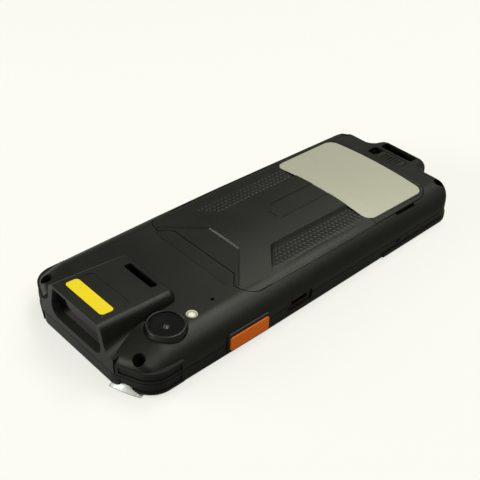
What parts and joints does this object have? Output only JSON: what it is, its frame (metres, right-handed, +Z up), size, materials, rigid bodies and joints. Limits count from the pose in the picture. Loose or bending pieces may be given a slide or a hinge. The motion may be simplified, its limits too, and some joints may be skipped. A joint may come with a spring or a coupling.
{
  "type": "handheld barcode data terminal",
  "caption": "Rugged handheld scanning terminal lying on its screen: scanner hump, rear camera, orange side triggers, latched battery cover and strap loop.",
  "frame": {"origin": "middle of the bounding box, on the surface that the terminal lies on", "axes": "+X across the width to the side with the data socket, +Y along the length from the scanner face to the strap loop, +Z up out of the back"},
  "size_m": [0.0708, 0.1766, 0.0223],
  "materials": {
    "matte_black": "fine spark-eroded texture, near-black warm grey",
    "rear_shell": "fine spark-eroded texture, near-black warm grey",
    "soft_black": "satin black elastomer",
    "orange_key": "satin orange",
    "key_black": "satin black",
    "window": "dark red-black filter, polished",
    "clear_glass": "polished black-backed glass",
    "film": "thin clear film with a milky sheen",
    "label_silver": "silver-grey polyester label, bare",
    "label_yellow": "yellow vinyl sticker, bare",
    "steel": "stamped steel",
    "screw_black": "black oxide",
    "contact_gold": "gold-plated contacts in a black block",
    "board_green": "green solder resist",
    "battery_wrap": "dark printed wrap, bare",
    "dark_moulding": "dark moulding",
    "alloy": "die-cast sheet",
    "ring_black": "black anodised",
    "flash_white": "frosted lens"
  },
  "bodies": {
    "terminal": {"battery": "battery_wrap", "battery_contacts": "contact_gold", "board_shields": "steel", "camera_glass": "clear_glass", "camera_module": "dark_moulding", "camera_ring": "ring_black", "card_holder": "steel", "chin_bumper_left": "soft_black", "chin_bumper_right": "soft_black", "corner_screws": "screw_black", "display_glass": "clear_glass", "display_panel": "clear_glass", "earpiece_mesh": "steel", "film_tab": "film", "flash_led": "flash_white", "flash_lens": "flash_white", "front_bumper_left": "soft_black", "front_bumper_right": "soft_black", "front_housing": "matte_black", "front_key_switches": "steel", "housing_seal": "soft_black", "laser_label": "label_yellow", "latch_spring": "steel", "loudspeaker": "dark_moulding", "main_board": "board_green", "mid_frame": "alloy", "protective_film": "film", "rear_bumper_left": "soft_black", "rear_bumper_right": "soft_black", "rear_housing": "rear_shell", "scan_engine": "dark_moulding", "scan_window": "window", "side_key_switches": "steel", "trigger_bezel_left": "key_black", "trigger_bezel_right": "key_black", "usb_shell": "steel", "usb_tongue": "contact_gold", "vibration_motor": "steel"},
    "cover": {"battery_cover": "rear_shell", "cover_label": "label_silver", "cover_seal": "soft_black"},
    "trigger_right": {"trigger_right": "orange_key"},
    "trigger_left": {"trigger_left": "orange_key"},
    "power_key": {"power_key": "key_black"},
    "volume_rocker": {"volume_rocker": "key_black"},
    "back_key": {"back_key": "key_black"},
    "home_key": {"home_key": "key_black"},
    "menu_key": {"menu_key": "key_black"},
    "latch": {"latch_slider": "key_black"}
  },
  "joints": [
    {"name": "trigger_right_press", "type": "slide", "parent": "terminal", "child": "trigger_right", "axis": [-1, 0, 0], "range_m": [0, 0.0006], "stiffness_N_per_m": 1500},
    {"name": "trigger_left_press", "type": "slide", "parent": "terminal", "child": "trigger_left", "axis": [1, 0, 0], "range_m": [0, 0.0006], "stiffness_N_per_m": 1500},
    {"name": "power_key_press", "type": "slide", "parent": "terminal", "child": "power_key", "axis": [1, 0, 0], "range_m": [0, 0.0006], "stiffness_N_per_m": 500},
    {"name": "volume_rocker_tilt", "type": "hinge", "parent": "terminal", "child": "volume_rocker", "pos_m": [-0.03258, 0.00843, 0.0036], "axis": [0, 0, 1], "range_deg": [-1.8, 1.8], "stiffness_Nm_per_rad": 0.3},
    {"name": "back_key_press", "type": "slide", "parent": "terminal", "child": "back_key", "axis": [0, 0, 1], "range_m": [0, 0.0005], "stiffness_N_per_m": 500},
    {"name": "home_key_press", "type": "slide", "parent": "terminal", "child": "home_key", "axis": [0, 0, 1], "range_m": [0, 0.0005], "stiffness_N_per_m": 500},
    {"name": "menu_key_press", "type": "slide", "parent": "terminal", "child": "menu_key", "axis": [0, 0, 1], "range_m": [0, 0.0005], "stiffness_N_per_m": 500},
    {"name": "latch_slide", "type": "slide", "parent": "terminal", "child": "latch", "axis": [-1, 0, 0], "range_m": [0, 0.0045]},
    {"name": "cover_lift", "type": "hinge", "parent": "terminal", "child": "cover", "pos_m": [0, -0.03452, 0.0159], "axis": [1, 0, 0], "range_deg": [0, 60]}
  ]
}
